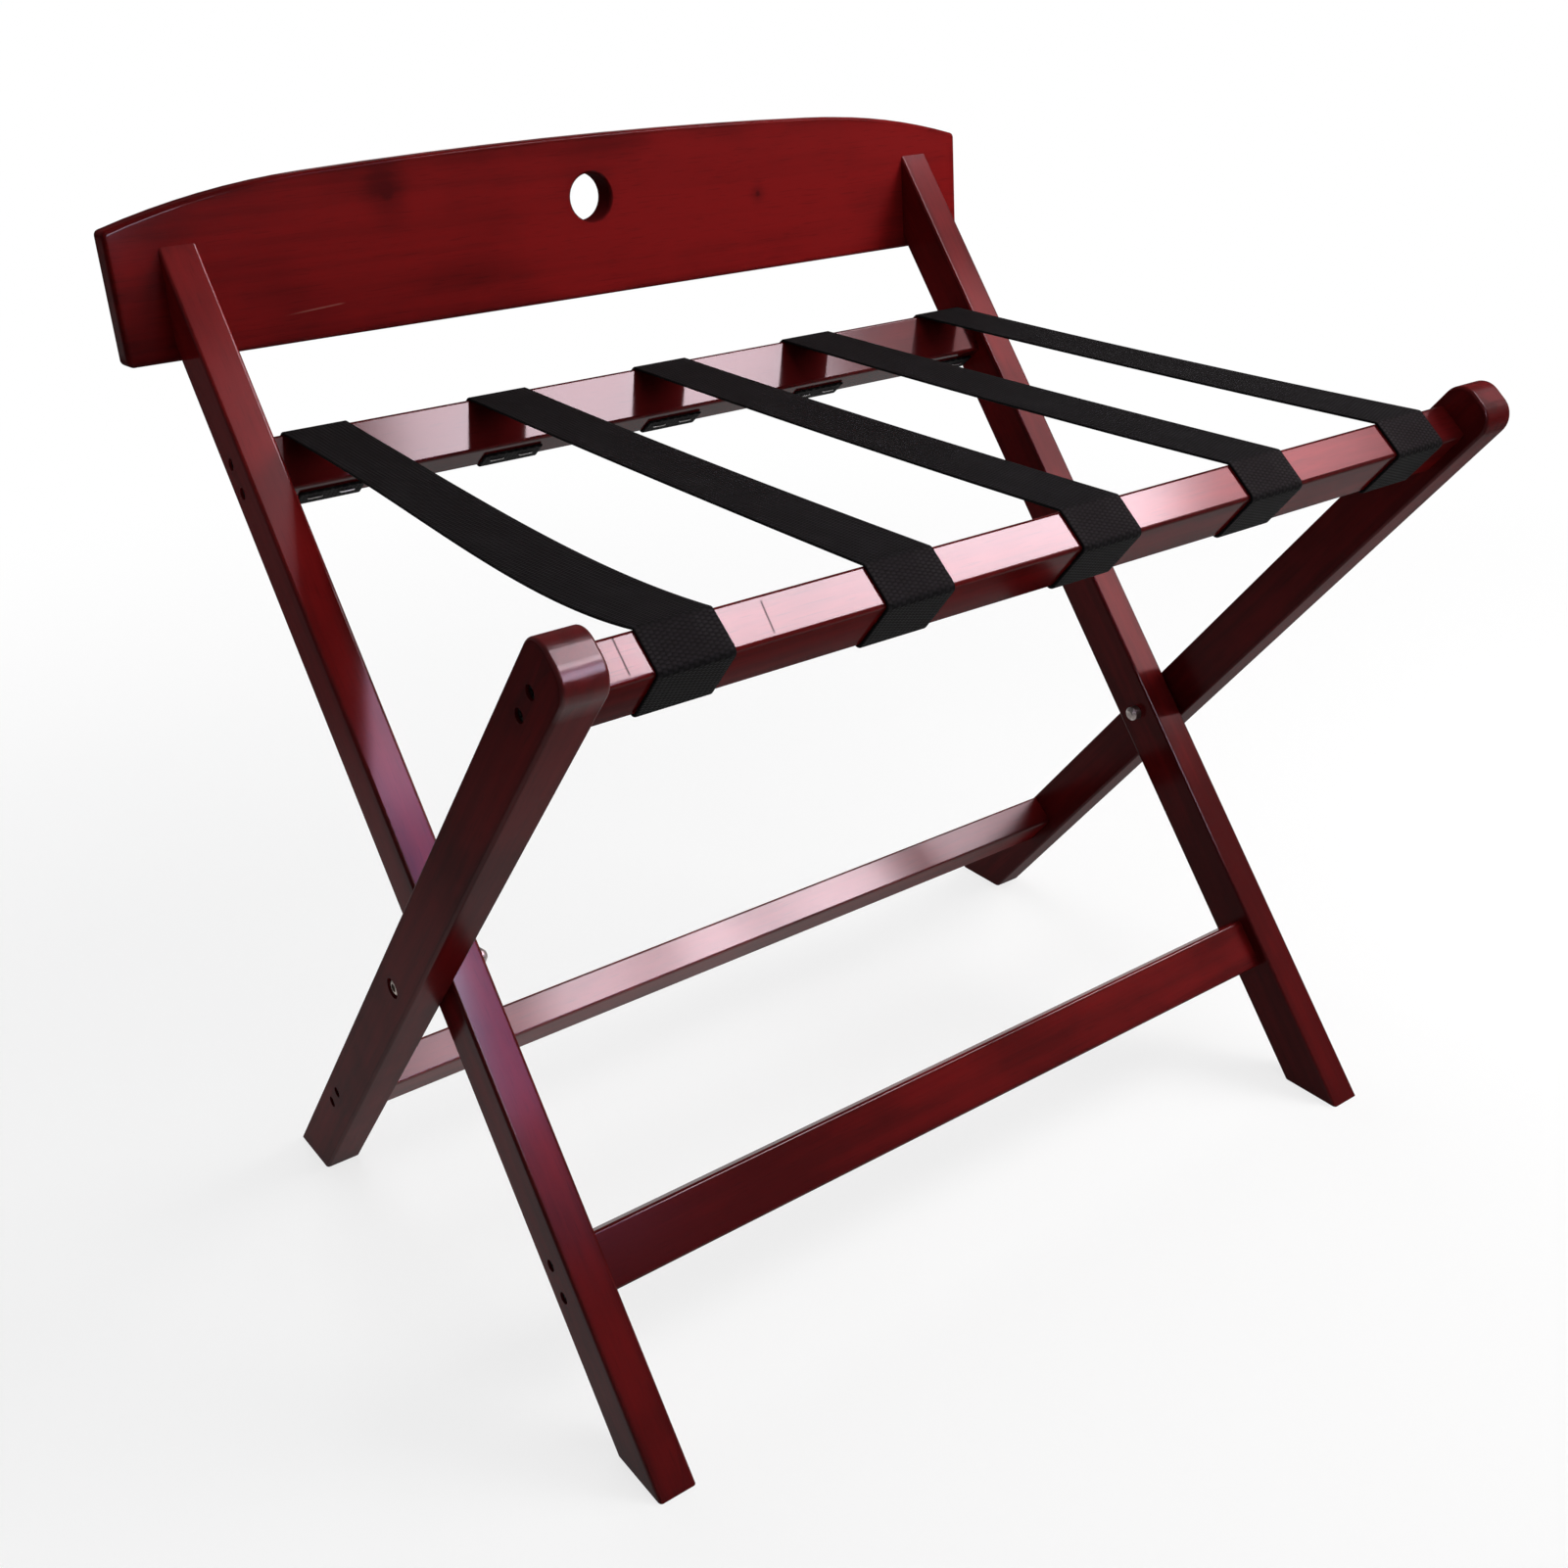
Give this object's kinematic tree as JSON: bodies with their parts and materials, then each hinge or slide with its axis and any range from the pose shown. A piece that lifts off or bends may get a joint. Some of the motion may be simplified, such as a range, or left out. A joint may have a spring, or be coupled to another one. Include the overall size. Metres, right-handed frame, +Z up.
{
  "type": "folding luggage rack",
  "caption": "Folding wooden luggage rack: crossed leg frames on pivot bolts, black webbing straps across the top and an arched backboard with a hanging hole.",
  "frame": {"origin": "on the floor, under the middle of the open rack's bounding box", "axes": "+X to the right along the rails, +Y to the backboard, +Z up"},
  "size_m": [0.63, 0.5064, 0.6136],
  "materials": {
    "timber": "mahogany red lacquer, glossy",
    "webbing": "black woven webbing",
    "steel": "bright zinc",
    "screw_steel": "dark",
    "spacer": "black nylon"
  },
  "bodies": {
    "inner_frame": {"long_leg_left": "timber", "long_leg_right": "timber", "back_rail": "timber", "front_stretcher": "timber", "backboard": "timber", "back_rail_screws": "screw_steel", "front_stretcher_screws": "screw_steel", "backboard_screws": "screw_steel", "pivot_spacer_left": "spacer", "pivot_spacer_right": "spacer", "strap_1_back_end": "webbing", "strap_2_back_end": "webbing", "strap_3_back_end": "webbing", "strap_4_back_end": "webbing", "strap_5_back_end": "webbing"},
    "outer_frame": {"short_leg_left": "timber", "short_leg_right": "timber", "front_rail": "timber", "back_stretcher": "timber", "front_rail_screws": "screw_steel", "back_stretcher_screws": "screw_steel", "pivot_bolt_left": "steel", "pivot_bolt_right": "steel", "pivot_nut_left": "steel", "pivot_nut_right": "steel", "strap_1_front_end": "webbing", "strap_1_span": "webbing", "strap_2_front_end": "webbing", "strap_2_span": "webbing", "strap_3_front_end": "webbing", "strap_3_span": "webbing", "strap_4_front_end": "webbing", "strap_4_span": "webbing", "strap_5_front_end": "webbing", "strap_5_span": "webbing"}
  },
  "joints": [
    {"name": "fold", "type": "hinge", "parent": "inner_frame", "child": "outer_frame", "pos_m": [0, -0.03283, 0.225], "axis": [-1, 0, 0], "range_deg": [0, 70], "deforming": ["strap_1_span", "strap_2_span", "strap_3_span", "strap_4_span", "strap_5_span"]}
  ]
}
